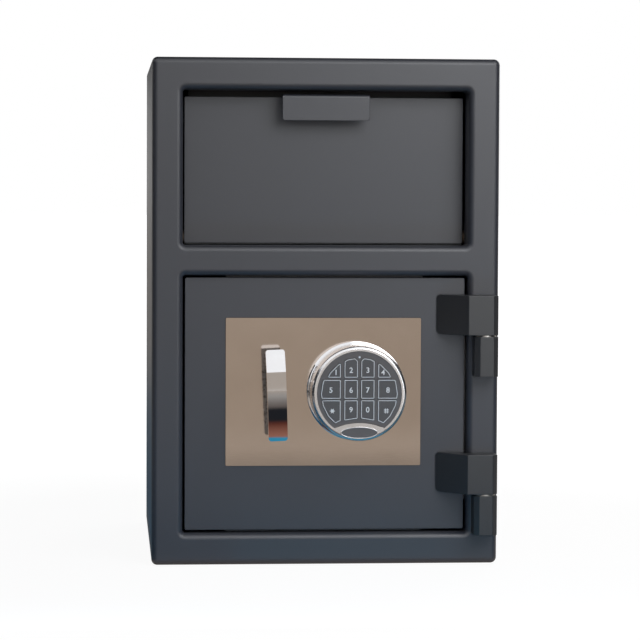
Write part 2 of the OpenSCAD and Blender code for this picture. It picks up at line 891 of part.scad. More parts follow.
module cover_screws() {
    head_r = 4;
    head_t = 2;
    side_in = 30;
    color(steel)
        for (x = [cover_left + side_in, cover_right - side_in], s = [-1, 1])
            upright(x, door_back_y + cover_t + head_t, door_mid_z + s * (cover_half + cover_flange / 2))
                cylinder(r = head_r, h = head_t);
}

// Lock

module lock_case() {
    pocket_r = swing_r + 2 * swing_gap;
    pocket_t = swing_t + 2 * swing_gap;
    color(zinc) difference() {
        translate([lock_x, door_back_y, keypad_z - lock_h / 2]) cube([lock_w, lock_t, lock_h]);
        translate([swing_x, bolt_y, swing_z]) {
            rotate([90, 0, 0]) intersection() {
                cylinder(r = pocket_r, h = pocket_t, center = true);
                translate([-2 * swing_r, -swing_hub_r - 2 * swing_gap, -pocket_t]) cube([4 * swing_r, 4 * swing_r, 2 * pocket_t]);
            }
            translate([0, -bolt_r - 1, 0]) rotate([-90, 0, 0]) cylinder(r = swing_pin_r + press_gap, h = 2 * bolt_r + 4);
        }
        lock_screw_places() cylinder(r = lock_screw_r + slide_gap, h = lock_t + 1);
    }
}

// Corners of the lock case where its screws go, seen from behind
module lock_screw_places() {
    inset = 7;
    for (sx = [0, 1], sz = [-1, 1])
        translate([lock_x + inset + sx * (lock_w - 2 * inset), door_back_y, keypad_z + sz * (lock_h / 2 - inset)])
            rotate([-90, 0, 0]) children();
}

module lock_screws() {
    color(steel) lock_screw_places() {
        cylinder(r = lock_screw_r, h = lock_t);
        translate([0, 0, lock_t]) cylinder(r = lock_head_r, h = lock_head_t);
    }
}

module swing_bolt_pin() {
    color(steel) translate([swing_x, bolt_y - bolt_r, swing_z]) rotate([-90, 0, 0])
        cylinder(r = swing_pin_r, h = 2 * bolt_r);
}

// Quarter disc that lies inside the lock case while the bolts are drawn in
module swing_bolt() {
    color(steel) translate([swing_x, bolt_y, swing_z]) rotate([90, 0, 0]) difference() {
        union() {
            cylinder(r = swing_hub_r, h = swing_t, center = true);
            linear_extrude(swing_t, center = true) intersection() {
                circle(swing_r);
                polygon([[0, 0], [swing_r * 2, swing_r * 0.35], [swing_r * 2, swing_r * 2], [0, swing_r * 2]]);
            }
        }
        cylinder(r = swing_pin_r + run_gap, h = swing_t + 2, center = true);
    }
}

// Keypad

module at_keypad() {
    upright(keypad_x, plate_front_y, keypad_z) children();
}

module keypad_base() {
    bevel = 1.2;
    color(chrome) at_keypad() rotate_extrude() polygon([
        [cable_r, 0], [base_r, 0], [base_r, base_h - bevel], [base_r - bevel, base_h], [cable_r, base_h]
    ]);
}

module keypad_shell() {
    shell_t = 3;
    ledge = 2;
    draft = 0.6;
    inside_r = shell_r - shell_t;
    color(chrome) at_keypad() difference() {
        rotate_extrude() polygon(concat(
            [[inside_r, base_h], [shell_r, base_h]],
            arc(ring_out_r - draft, keypad_h - shoulder_r, shoulder_r, 0, 90),
            [
                [face_r, keypad_h], [face_r, face_z], [face_r - ledge, face_z], [face_r - ledge, mat_z],
                [0, mat_z], [0, mat_z - shell_t], [inside_r, mat_z - shell_t]
            ]
        ));
        translate([0, 0, face_z - 1]) linear_extrude(keypad_h) intersection() {
            circle(ring_out_r - draft);
            lens_region(0);
        }
    }
}

// Everything below the upper edge of the battery cover, moved up by grow
module lens_region(grow) {
    centre = -lens_drop - lens_r;
    translate([0, centre]) circle(lens_r + grow);
}

module keypad_face() {
    color(dark_face) at_keypad() translate([0, 0, face_z]) linear_extrude(face_t) difference() {
        circle(face_r - slide_gap);
        lens_region(seat_gap);
        translate([0, light_up]) circle(light_r + slide_gap);
        for (row = [0:2], col = [-2, -1, 1, 2])
            key_shape(row, col, key_gap);
    }
}

module key_mat() {
    color(rubber) at_keypad() translate([0, 0, mat_z]) cylinder(r = face_r - 2.4, h = mat_t);
}

module battery_cover() {
    inlay_d = 0.6;
    color(chrome) at_keypad() translate([0, 0, face_z - 1]) difference() {
        linear_extrude(keypad_h + 0.6 - face_z + 1) intersection() {
            circle(ring_out_r - 0.8);
            lens_region(0);
        }
        translate([0, 0, keypad_h + 0.6 - face_z + 1 - inlay_d]) linear_extrude(inlay_d + 1) oval(0.1);
    }
}

module oval(grow) {
    translate([0, -oval_drop]) polygon([
        for (a = [0:7.5:352.5]) [(oval_half_w + grow) * cos(a), (oval_half_h + grow) * sin(a)]
    ]);
}

module cover_inlay() {
    color(dark_face) at_keypad() translate([0, 0, keypad_h]) linear_extrude(0.8) oval(0);
}

module status_light() {
    color("white") at_keypad() translate([0, light_up, face_z]) cylinder(r = light_r, h = face_t + 0.2);
}

// Outline of one key before its corners are rounded
module key_cell(row, col) {
    inner = abs(col) == 1;
    x0 = inner ? key_x1 : key_x3;
    x1 = inner ? key_x2 : key_side_r;
    bound_r = row == 0 ? key_top_r : key_side_r;
    low = [key_row1, key_row3, -key_side_r][row];
    high = [key_top_r, key_row2, key_row4][row];
    mirror([col < 0 ? 1 : 0, 0]) difference() {
        intersection() {
            translate([x0, low]) square([x1 - x0, high - low]);
            circle(bound_r);
        }
        lens_region(key_lens_gap);
        translate([0, light_up]) rotate(45) square(light_half * sqrt(2), center = true);
    }
}

module key_shape(row, col, grow) {
    offset(r = key_round + grow, $fn = 20) offset(delta = -key_round) key_cell(row, col);
}

module key(row, col) {
    color(key_grey) at_keypad() translate([0, 0, key_low_z]) linear_extrude(key_top_z - key_low_z)
        key_shape(row, col, 0);
}

module key_1() { key(0, -2); }
module key_2() { key(0, -1); }
module key_3() { key(0, 1); }
module key_4() { key(0, 2); }
module key_5() { key(1, -2); }
module key_6() { key(1, -1); }
module key_7() { key(1, 1); }
module key_8() { key(1, 2); }
module key_star() { key(2, -2); }
module key_9() { key(2, -1); }
module key_0() { key(2, 1); }
module key_hash() { key(2, 2); }

// Handle, which turns with its spindle and cam

module at_spindle() {
    upright(handle_x, plate_front_y, handle_z) children();
}

// Side view of the bar: up along x, outwards along y
function bar_side(t_top, t_mid, t_low) = concat(
    [[bar_up, bar_out - bar_up * tan(bar_tilt)], [0, bar_out]],
    [for (i = [1:10]) [-bar_down * i / 10, bar_out - bow_fall(bar_down * i / 10)]],
    [for (i = [10:-1:1]) [-bar_down * i / 10, bar_out - bow_fall(bar_down * i / 10) - t_mid + (t_mid - t_low) * i / 10]],
    [[0, bar_out - t_mid], [bar_up, bar_out - bar_up * tan(bar_tilt) - t_top]]
);

// How far a bow that turns by bar_bow over the lower length falls back at distance s
function bow_fall(s) = bow_r() - sqrt(bow_r() * bow_r() - s * s);

function bow_r() = bar_down / sin(bar_bow);

module handle() {
    end_t = bar_t * 0.75;
    socket = 18;
    corner = 3;
    color(chrome) at_spindle() rotate([0, 0, bar_lean]) difference() {
        union() {
            translate([0, 0, seat_gap]) cylinder(r = neck_r, h = bar_out - seat_gap - bar_t / 2);
            intersection() {
                translate([-bar_w / 2, 0, 0]) rotate([90, 0, 90]) linear_extrude(bar_w)
                    polygon(bar_side(end_t, bar_t, end_t));
                linear_extrude(bar_out + 1) translate([0, (bar_up - bar_down) / 2])
                    round_rect(bar_w, bar_up + bar_down, corner);
            }
        }
        cylinder(r = spindle_r + press_gap, h = socket + 0.5);
    }
}

module spindle() {
    socket = 18;
    color(steel) upright(handle_x, cam_y + cam_t, handle_z)
        cylinder(r = spindle_r, h = cam_y + cam_t - plate_front_y + socket);
}

module cam() {
    pin_l = carrier_t + 3.5;
    color(steel) upright(handle_x, cam_y + cam_t, handle_z) difference() {
        union() {
            cylinder(r = cam_r, h = cam_t);
            translate([drive_x, -drive_x, -pin_l]) cylinder(r = drive_pin_r, h = pin_l + cam_t);
        }
        translate([0, 0, -1]) cylinder(r = spindle_r + press_gap, h = cam_t + 2);
    }
}

// Boltwork, which slides to the left

module bolt_carrier() {
    middle_low = handle_z - mid_arm_low;
    middle_high = handle_z + mid_arm_high;
    drive_far = drive_x * sqrt(2);
    slot_gap = 0.2;
    screw_window = screw_head_r + 0.5;
    color(steel) {
        upright(0, carrier_y + carrier_t, 0) linear_extrude(carrier_t) difference() {
            union() {
                translate([carrier_x, door_mid_z - carrier_half]) square([upright_w, 2 * carrier_half]);
                for (z = [door_mid_z - carrier_half, door_mid_z + carrier_half - arm_h])
                    translate([carrier_x, z]) square([arm_end_x - carrier_x, arm_h]);
                translate([carrier_x, middle_low])
                    square([lock_x - lock_gap - carrier_x, middle_high - middle_low]);
            }
            translate([handle_x + drive_x - drive_slot, handle_z - drive_far - drive_slot])
                square([2 * drive_slot, drive_far - drive_x + 2 * drive_slot]);
            for (s = [-1, 1])
                translate([post_x + bolt_travel / 2, door_mid_z + s * (carrier_half - arm_h / 2)])
                    round_rect(bolt_travel + 2 * (post_r + slot_gap), 2 * (post_r + slot_gap), post_r + slot_gap - 0.01);
            for (i = [0:bolt_n - 1])
                translate([carrier_x + flange_t, bolt_z(i) - screw_window])
                    square([screw_head_h + 1, 2 * screw_window]);
        }
        translate([carrier_x, bolt_y - bolt_r, door_mid_z - carrier_half])
            cube([flange_t, 2 * bolt_r, 2 * carrier_half]);
    }
}

module locking_bolts() {
    color(chrome) each_bolt() translate([tip_x, 0, 0]) rotate([0, 90, 0]) {
        cylinder(r1 = bolt_r - bolt_nose, r2 = bolt_r, h = bolt_nose);
        translate([0, 0, bolt_nose]) cylinder(r = bolt_r, h = carrier_x - tip_x - bolt_nose);
    }
}

module bolt_screws() {
    color(steel) each_bolt() translate([carrier_x + flange_t, 0, 0]) rotate([0, 90, 0])
        cylinder(r = screw_head_r, h = screw_head_h);
}

body_wrap();
back_plate();
front_frame();
door_stops();
hinge_knuckle_upper();
hinge_knuckle_lower();
hinge_pins();
hinge_washers();
hopper_brackets();
hopper_bushes();
chute_plate();
baffle();
baffle_comb();
hopper_panel();
finger_pull();
hopper_tray();
hopper_wing_left();
hopper_wing_right();
hopper_pins();
hopper_stop_lugs();
door_plate();
hinge_leaf_upper();
hinge_leaf_lower();
polished_plate();
dead_bar();
bolt_guide();
guide_posts();
spindle_bush();
inner_cover();
cover_screws();
lock_case();
lock_screws();
swing_bolt_pin();
swing_bolt();
keypad_base();
keypad_shell();
keypad_face();
key_mat();
battery_cover();
cover_inlay();
status_light();
key_1();
key_2();
key_3();
key_4();
key_5();
key_6();
key_7();
key_8();
key_star();
key_9();
key_0();
key_hash();
handle();
spindle();
cam();
bolt_carrier();
locking_bolts();
bolt_screws();
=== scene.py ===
# Looks of a drop safe: tilting deposit hopper, hinged door, round keypad, lever handle and boltwork
import json
import math

import bmesh
import bpy
from bpy.props import FloatProperty, FloatVectorProperty, PointerProperty
from mathutils import Matrix, Vector

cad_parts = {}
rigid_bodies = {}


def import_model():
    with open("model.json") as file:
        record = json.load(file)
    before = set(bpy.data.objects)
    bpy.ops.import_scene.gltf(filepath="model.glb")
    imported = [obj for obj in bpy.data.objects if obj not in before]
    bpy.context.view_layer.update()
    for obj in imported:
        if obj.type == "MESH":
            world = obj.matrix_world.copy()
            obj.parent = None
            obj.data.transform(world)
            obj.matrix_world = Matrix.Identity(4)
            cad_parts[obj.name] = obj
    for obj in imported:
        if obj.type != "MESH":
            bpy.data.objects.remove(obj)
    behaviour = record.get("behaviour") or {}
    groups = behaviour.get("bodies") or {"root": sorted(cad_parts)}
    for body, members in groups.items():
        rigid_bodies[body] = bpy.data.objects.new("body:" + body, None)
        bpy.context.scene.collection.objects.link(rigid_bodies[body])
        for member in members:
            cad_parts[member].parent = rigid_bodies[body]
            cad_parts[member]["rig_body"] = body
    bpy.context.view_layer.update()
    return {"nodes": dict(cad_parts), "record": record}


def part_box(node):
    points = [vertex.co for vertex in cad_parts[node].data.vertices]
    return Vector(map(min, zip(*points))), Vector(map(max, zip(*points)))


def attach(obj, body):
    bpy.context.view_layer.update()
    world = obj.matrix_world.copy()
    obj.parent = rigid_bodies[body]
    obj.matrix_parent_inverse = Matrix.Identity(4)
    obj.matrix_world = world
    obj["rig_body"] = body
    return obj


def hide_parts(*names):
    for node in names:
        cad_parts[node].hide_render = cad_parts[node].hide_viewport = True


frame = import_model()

bl_info = {
    "name": "Drop safe looks",
    "version": (1, 0, 0),
    "blender": (4, 5, 0),
    "location": "3D View > Sidebar > Drop safe",
    "description": "Finishes, detail pieces and studio for a drop safe with a deposit hopper",
    "category": "Object",
}

MM = 0.001
WHITE = (1.0, 1.0, 1.0)
NODES = frame["nodes"]
KEYS = ["1", "2", "3", "4", "5", "6", "7", "8", "star", "9", "0", "hash"]
KEYS_IN_ROW = 4


# Sizes and colours

def colour_property(name, description, default):
    return FloatVectorProperty(
        name=name, description=description, subtype="COLOR", size=3, min=0.0, max=1.0, default=default
    )


def length_property(name, description, millimetres):
    return FloatProperty(
        name=name, description=description, subtype="DISTANCE", unit="LENGTH", precision=5,
        min=0.0, default=millimetres * MM
    )


def angle_property(name, description, degrees):
    return FloatProperty(
        name=name, description=description, subtype="ANGLE", unit="ROTATION", default=math.radians(degrees)
    )


class FinishSettings(bpy.types.PropertyGroup):
    """Colours of the finishes, and the paint's grain"""
    paint: colour_property("Powder coat", "Charcoal paint of body, door and hopper", (0.035, 0.0375, 0.048))
    hinge_paint: colour_property("Hinge paint", "Charcoal paint of the hinges", (0.020, 0.021, 0.024))
    inner_paint: colour_property("Inner paint", "Thinner paint inside the body", (0.034, 0.035, 0.040))
    plate: colour_property("Polished plate", "Warm tint of the polished plate", (0.66, 0.575, 0.51))
    chrome: colour_property("Chrome", "Bright chrome plate", (0.86, 0.86, 0.88))
    steel: colour_property("Steel", "Plain machined steel", (0.56, 0.56, 0.58))
    # Partly the dark of oiled bronze and partly painted shade: the bushes are darkened so that they stay
    # dark where they show through the hopper panel's side gaps
    bronze: colour_property("Bronze", "Dark oiled bronze of the bushes", (0.075, 0.056, 0.042))
    washer: colour_property("Washers", "Bright thrust washers of the hinges", (0.74, 0.72, 0.68))
    zinc: colour_property("Zinc", "Die-cast lock case", (0.36, 0.37, 0.39))
    lever_back: colour_property("Lever back", "Plated back of the lever, left as cast", (0.64, 0.67, 0.72))
    face: colour_property("Keypad face", "Dark grey face of the keypad", (0.135, 0.124, 0.120))
    keys: colour_property("Keys", "Dark grey keys", (0.105, 0.099, 0.098))
    rubber: colour_property("Rubber", "Black mat under the keys", (0.02, 0.02, 0.02))
    outlines: colour_property("Outlines", "Pale grey outlines of the keys", (0.86, 0.85, 0.84))
    numbers: colour_property("Numbers", "White numbers on the keys", (0.97, 0.96, 0.94))
    grain: length_property("Paint grain", "Size of the ripple in the powder coat", 1.1)


class PlateSettings(bpy.types.PropertyGroup):
    """Radii along the edges of the plates and hinges"""
    knuckle: length_property("Knuckles", "Edges of the hinge knuckles on the frame", 0.6)
    leaf: length_property("Leaves", "Edges of the hinge leaves on the door", 0.7)
    hopper: length_property("Hopper", "Edges of the hopper's panel and finger pull", 0.5)
    door: length_property("Door", "Edges of the door plate", 0.6)
    polished: length_property("Polished plate", "Edges of the polished plate", 0.25)


class KeypadSettings(bpy.types.PropertyGroup):
    """Sizes of the keypad's detail pieces"""
    outline: length_property("Outline width", "Width of the pale line round each key", 0.68)
    outline_in: length_property("Outline inset", "Line inside the edge of a key's top", 0.05)
    key_edge: length_property("Key edge", "Radius along the edges of a key", 0.25)
    number_height: length_property("Number height", "Height of a number on its key", 5.2)
    number_weight: length_property("Number weight", "Added to each side of a number's strokes", 0.12)
    symbol_size: length_property("Symbol size", "Height of the hash; the star is a fifth higher", 5.0)
    symbol_bar: length_property("Symbol bar", "Width of the hash's bars", 0.65)
    print_depth: length_property("Print depth", "Thickness of the print", 0.06)
    foot_lip: length_property("Foot lip", "Radius of the rim of the keypad's foot", 0.5)
    foot_drop: length_property("Foot drop", "How far the foot falls from the case to its rim", 1.4)
    cover_edge: length_property("Cover edge", "Radius along the edges of the battery cover", 0.9)
    inlay_edge: length_property("Oval edge", "Radius along the edge of the cover's oval", 0.25)
    ring_width: length_property("Ring width", "Width of the chrome ring round the oval", 1.0)
    ring_height: length_property("Ring height", "How far the ring stands out of the cover", 0.5)
    ring_edge: length_property("Ring edge", "Radius along the edges of the ring", 0.35)


class LeverSettings(bpy.types.PropertyGroup):
    """Shape of the lever's bar"""
    edge: length_property("Edge", "Radius along the edges of the bar", 0.9)
    knee: length_property("Knee", "How much higher than on the solid the bar starts to lean back", 8.5)
    top_slope: angle_property("Top slope", "How far the bar's upper end falls away to the back", 28)


class CameraSettings(bpy.types.PropertyGroup):
    """Place, direction and lens of the camera"""
    left: length_property("Left", "Camera to the left of the safe's middle", 217.8)
    front: length_property("Distance", "Camera in front of the safe's middle", 2803.3)
    up: length_property("Height", "Camera above the floor", 383.2)
    down: angle_property("Looks down", "How far the camera looks down", 2.95)
    right: angle_property("Looks right", "How far the camera looks to the right", 4.592)
    roll: angle_property("Roll", "How far the camera rolls", -0.26)
    lens: FloatProperty(name="Lens", description="Focal length in mm", unit="CAMERA", default=147.74)


class DropSafeSettings(bpy.types.PropertyGroup):
    """All settings of the drop safe"""
    finish: PointerProperty(type=FinishSettings)
    plates: PointerProperty(type=PlateSettings)
    keypad: PointerProperty(type=KeypadSettings)
    lever: PointerProperty(type=LeverSettings)
    camera: PointerProperty(type=CameraSettings)


# Shader maths

class Value:
    """An output of a shader node, with arithmetic that adds Math nodes"""

    def __init__(self, graph, socket):
        self.graph = graph
        self.socket = socket

    def __add__(self, other):
        return self.graph.maths("ADD", self, other)

    def __sub__(self, other):
        return self.graph.maths("SUBTRACT", self, other)

    def __mul__(self, other):
        return self.graph.maths("MULTIPLY", self, other)

    def __truediv__(self, other):
        return self.graph.maths("DIVIDE", self, other)

    def __rsub__(self, other):
        return self.graph.maths("SUBTRACT", other, self)

    def __rtruediv__(self, other):
        return self.graph.maths("DIVIDE", other, self)

    __radd__ = __add__
    __rmul__ = __mul__


class Graph:
    """The node graph of a material or of the world"""

    def __init__(self, owner):
        owner.use_nodes = True
        self.owner = owner
        self.tree = owner.node_tree
        output = next(node for node in self.tree.nodes if node.type.startswith("OUTPUT"))
        self.end = output.inputs["Surface"]
        self.shader = self.end.links[0].from_node

    def node(self, kind, settings=None, sockets=None, output=0):
        """Adds a node: its settings first, then the values or links of its sockets"""
        made = self.tree.nodes.new(kind)
        for name, value in (settings or {}).items():
            if name == "stops":
                self.set_stops(made.color_ramp, value)
            else:
                setattr(made, name, value)
        for name, value in (sockets or {}).items():
            self.feed(made.inputs[name], value)
        return Value(self, made.outputs[output])

    def set_stops(self, ramp, stops):
        """Gives a ramp its stops, each a place and a grey or a colour"""
        while len(ramp.elements) < len(stops):
            ramp.elements.new(1.0)
        for element, (place, tone) in zip(ramp.elements, stops):
            element.position = place
            element.color = (*tone, 1.0) if isinstance(tone, tuple) else (tone, tone, tone, 1.0)

    def feed(self, socket, value):
        """Links a value to a socket, or sets the socket to a number, vector or colour"""
        if isinstance(value, Value):
            self.tree.links.new(value.socket, socket)
        elif socket.type == "RGBA" and len(value) == 3:
            socket.default_value = (*value, 1.0)
        else:
            socket.default_value = value

    def maths(self, operation, first, second):
        """Adds a Math node"""
        return self.node("ShaderNodeMath", {"operation": operation}, {0: first, 1: second})

    def surface(self, **sockets):
        """Feeds the graph's own shader and gives the finished material or world"""
        for name, value in sockets.items():
            self.feed(self.shader.inputs[name.replace("_", " ")], value)
        return self.owner

    def place(self, stretch=None):
        """Object coordinates, stretched where a pattern runs in one direction"""
        point = self.node("ShaderNodeTexCoord", output="Object")
        if stretch is None:
            return point
        return self.node("ShaderNodeVectorMath", {"operation": "MULTIPLY"}, {0: point, 1: stretch})

    def noise(self, point, size, detail=2.0, roughness=0.5):
        """Noise from 0 to 1 whose features are about size wide"""
        return self.node(
            "ShaderNodeTexNoise", None,
            {"Vector": point, "Scale": 1.0 / size, "Detail": detail, "Roughness": roughness}
        )

    def ramp(self, value, stops):
        return self.node("ShaderNodeValToRGB", {"stops": stops}, {"Fac": value})

    def mix(self, factor, first, second):
        """Blends two colours"""
        return self.node(
            "ShaderNodeMix", {"data_type": "RGBA"}, {0: factor, 6: first, 7: second}, output=2
        )

    def bump(self, height, distance, strength):
        return self.node(
            "ShaderNodeBump", None, {"Height": height, "Distance": distance, "Strength": strength}
        )

    def glow(self, tone, strength=1.0):
        return self.node("ShaderNodeEmission", None, {"Color": tone, "Strength": strength})

    def rays(self):
        """Masks of the rays that come from the camera, from gloss and through a clear surface"""
        return [
            self.node("ShaderNodeLightPath", output=kind)
            for kind in ("Is Camera Ray", "Is Glossy Ray", "Is Transmission Ray")
        ]


def new_graph(name):
    """The graph of a new material"""
    return Graph(bpy.data.materials.new(name))


def shade(colour, factor):
    return tuple(min(1.0, c * factor) for c in colour)


# Finishes

def powder_coat(name, colour, grain):
    """Satin powder coat: fine ripple, soft cloudy sheen, a few pale specks"""
    g = new_graph(name)
    point = g.place()
    ripple = g.noise(point, grain, 3.0, 0.55)
    cloud = g.noise(point, 120 * MM, 3.0, 0.6)
    speck = g.ramp(g.noise(point, 1.6 * MM, 1.0), [(0.0, 0.0), (0.74, 0.0), (0.80, 1.0)])
    tone = g.mix(cloud, shade(colour, 0.90), shade(colour, 1.10))
    tone = g.mix(speck * 0.16, tone, shade(colour, 1.9))
    return g.surface(
        Base_Color=tone, Roughness=0.36 + cloud * 0.10 + ripple * 0.04, Specular_IOR_Level=0.95,
        Normal=g.bump(ripple, 0.06 * MM, 0.55)
    )


def mirror_plate(name, colour):
    """Polished steel with a warm tint, faint smears and hair-fine lines"""
    g = new_graph(name)
    point = g.place()
    lines = g.noise(g.place((1.0, 1.0, 60.0)), 20 * MM, 2.0, 0.7)
    smear = g.noise(point, 50 * MM, 4.0, 0.6)
    return g.surface(
        Base_Color=g.mix(smear, shade(colour, 0.93), shade(colour, 1.07)), Metallic=1.0,
        Roughness=0.055 + smear * 0.05, Normal=g.bump(lines, 0.01 * MM, 0.25)
    )


def chrome_plate(name, colour, rough=0.035):
    """Chrome with the faintest ripple, bright or satin"""
    g = new_graph(name)
    ripple = g.noise(g.place(), 6 * MM)
    return g.surface(
        Base_Color=g.mix(ripple, shade(colour, 0.96), shade(colour, 1.02)), Metallic=1.0,
        Roughness=rough + ripple * 0.04, Normal=g.bump(ripple, 0.02 * MM, 0.2)
    )


def machined_steel(name, colour, stretch=None, rough=0.30):
    """Plain metal with drawn or turned marks"""
    g = new_graph(name)
    marks = g.noise(g.place(stretch), 1.2 * MM, 3.0, 0.7)
    stain = g.noise(g.place(), 30 * MM, 4.0, 0.6)
    return g.surface(
        Base_Color=g.mix(stain, shade(colour, 0.82), shade(colour, 1.06)), Metallic=1.0,
        Roughness=rough + stain * 0.14 + marks * 0.06, Normal=g.bump(marks, 0.02 * MM, 0.5)
    )


def cast_zinc(name, colour, metal=0.75, pit_shade=0.0):
    """Die-cast surface with a fine grain and, where it was left rough, dark spots of painted shade for the
    casting's small hollows
    """
    g = new_graph(name)
    point = g.place()
    grain = g.noise(point, 0.7 * MM, 3.0, 0.6)
    cloud = g.noise(point, 20 * MM, 3.0)
    # Painted shade: near-black spots stand for the shade in the small hollows of a rough casting, which the
    # shape doesn't have
    pit_shade_mask = g.ramp(g.noise(point, 2.2 * MM, 2.0, 0.7), [(0.0, 1.0), (0.38, 1.0), (0.48, 0.0)])
    tone = g.mix(cloud, shade(colour, 0.86), shade(colour, 1.08))
    return g.surface(
        Base_Color=g.mix(pit_shade_mask * pit_shade, tone, shade(colour, 0.08)), Metallic=metal,
        Roughness=0.46 + grain * 0.12, Normal=g.bump(grain, 0.05 * MM, 0.6)
    )


def moulded_plastic(name, colour, rough):
    """Moulded plastic or rubber with a spark-eroded grain"""
    g = new_graph(name)
    point = g.place()
    texture = g.noise(point, 0.5 * MM)
    cloud = g.noise(point, 15 * MM, 3.0)
    return g.surface(
        Base_Color=g.mix(cloud, shade(colour, 0.90), shade(colour, 1.10)),
        Roughness=rough + cloud * 0.08, Normal=g.bump(texture, 0.03 * MM, 0.45)
    )


def printed_ink(name, colour):
    """Screen print, slightly uneven"""
    g = new_graph(name)
    worn = g.noise(g.place(), 0.9 * MM, 3.0, 0.6)
    return g.surface(
        Base_Color=g.mix(worn, shade(colour, 0.82), colour), Roughness=0.45 + worn * 0.1
    )


def light_lens(name):
    """White lens of the status light"""
    g = new_graph(name)
    haze = g.noise(g.place(), 0.6 * MM)
    return g.surface(
        Base_Color=g.mix(haze, (0.80, 0.82, 0.84), (0.95, 0.96, 0.97)), Roughness=0.12 + haze * 0.1
    )


FINISHES = {}


def make_finishes(finish):
    """A material for each slot of the record, and for each finish that only this script uses"""
    grain = finish.grain
    FINISHES.update({
        "paint": powder_coat("powder_coat", finish.paint, grain),
        "hinge_paint": powder_coat("hinge_coat", finish.hinge_paint, grain),
        "inner_paint": powder_coat("inner_coat", finish.inner_paint, grain),
        "polished_plate": mirror_plate("polished_plate", finish.plate),
        "chrome": chrome_plate("chrome", finish.chrome),
        "satin_chrome": chrome_plate("satin_chrome", finish.chrome, 0.20),
        "steel": machined_steel("machined_steel", finish.steel, (1.0, 1.0, 14.0)),
        # Bronze of the bushes, darkened as painted shade for the hopper panel's side gaps
        "bronze": machined_steel("sintered_bronze_with_painted_shade", finish.bronze, rough=0.42),
        "washer": machined_steel("washer", finish.washer, rough=0.22),
        "zinc": cast_zinc("cast_zinc", finish.zinc),
        # The lever's back gets the painted shade of small casting hollows
        "rough_back": cast_zinc("lever_back", finish.lever_back, 0.1, 0.8),
        "face": moulded_plastic("keypad_face", finish.face, 0.34),
        "keys": moulded_plastic("keypad_keys", finish.keys, 0.42),
        "light": light_lens("status_lens"),
        "rubber": moulded_plastic("rubber_mat", finish.rubber, 0.7),
        "print": printed_ink("key_outline", finish.outlines),
        "numbers": printed_ink("key_number", finish.numbers),
    })


def slot_of(node):
    """The record's material slot of a CAD node"""
    return next(s["material_slot"] for s in frame["record"]["subparts"] if s["node"] == node)


def dress(node, finish=None):
    """Gives a CAD node a finish, by default that of its slot"""
    mesh = NODES[node].data
    mesh.materials.clear()
    mesh.materials.append(FINISHES[finish or slot_of(node)])


def body_of(node):
    return NODES[node]["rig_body"]


# Mesh helpers

# Points of a CAD mesh that are closer than this are one corner
SAME_CORNER = 0.01 * MM
# Points of the script's own shapes that are closer than this are one
SAME_POINT = 0.001 * MM
# Faces of a CAD mesh that meet at a smaller angle are one flat face
FLAT_BELOW = math.radians(0.5)
# Faces of a piece that meet at a smaller angle are shaded as one round surface
ROUND_BELOW = math.radians(35)
# Steps of a full turn, and of an arc in a profile
TURN_STEPS = 128
ARC_STEPS = 8


def new_mesh(name, bm):
    mesh = bpy.data.meshes.new(name)
    bm.to_mesh(mesh)
    bm.free()
    return mesh


def new_object(name, data):
    """Adds an object to the scene"""
    made = bpy.data.objects.new(name, data)
    bpy.context.scene.collection.objects.link(made)
    return made


def make_piece(name, bm, finish, node, replace=False):
    """Turns a bmesh into a piece that rides with a CAD node's body"""
    bmesh.ops.recalc_face_normals(bm, faces=bm.faces)
    mesh = new_mesh(name, bm)
    mesh.materials.append(FINISHES[finish])
    mesh.polygons.foreach_set("use_smooth", [True] * len(mesh.polygons))
    mesh.set_sharp_from_angle(angle=ROUND_BELOW)
    piece = new_object(name, mesh)
    even = piece.modifiers.new("even_shading", "WEIGHTED_NORMAL")
    even.keep_sharp = True
    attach(piece, body_of(node))
    slot_of(node)
    if replace:
        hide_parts(node)
    return piece


def copy_of(node):
    """A CAD node's mesh as a merged bmesh with its flat faces whole again"""
    bm = bmesh.new()
    bm.from_mesh(NODES[node].data)
    bmesh.ops.remove_doubles(bm, verts=bm.verts, dist=SAME_CORNER)
    bmesh.ops.dissolve_limit(
        bm, angle_limit=FLAT_BELOW, use_dissolve_boundaries=False, verts=bm.verts, edges=bm.edges
    )
    return bm


def bevel_sharp(bm, width, segments=2, angle=30.0):
    """Rounds the edges that are sharper than an angle in degrees"""
    limit = math.radians(angle)
    sharp = [e for e in bm.edges if len(e.link_faces) == 2 and e.calc_face_angle(0.0) > limit]
    bmesh.ops.bevel(
        bm, geom=sharp, offset=width, offset_type="OFFSET", segments=segments, profile=0.5,
        affect="EDGES", clamp_overlap=True, material=-1
    )


def eased(node, width, segments=2, finish=None):
    """A copy of a CAD node with its sharp edges rounded, in its place"""
    bm = copy_of(node)
    bevel_sharp(bm, width, segments)
    return make_piece(node + "_eased", bm, finish or slot_of(node), node, replace=True)


def turned(points):
    """Spins a profile of (radius, height) points about Z"""
    bm = bmesh.new()
    line = [bm.verts.new((r, 0.0, h)) for r, h in points]
    edges = [bm.edges.new(pair) for pair in zip(line, line[1:])]
    bmesh.ops.spin(
        bm, geom=line + edges, cent=(0, 0, 0), axis=(0, 0, 1), angle=math.tau, steps=TURN_STEPS,
        use_merge=True
    )
    bmesh.ops.remove_doubles(bm, verts=bm.verts, dist=SAME_POINT)
    return bm


def arc(r, h, radius, start, end):
    """Points of an arc about (r, h) in a profile, angles in degrees"""
    angles = [math.radians(start + (end - start) * i / ARC_STEPS) for i in range(ARC_STEPS + 1)]
    return [(r + radius * math.cos(angle), h + radius * math.sin(angle)) for angle in angles]


def inset(bm, faces, width):
    """Shrinks a region of faces by a width, and gives the faces that fill the gap"""
    return bmesh.ops.inset_region(
        bm, faces=faces, thickness=width, use_boundary=True, use_even_offset=True
    )["faces"]


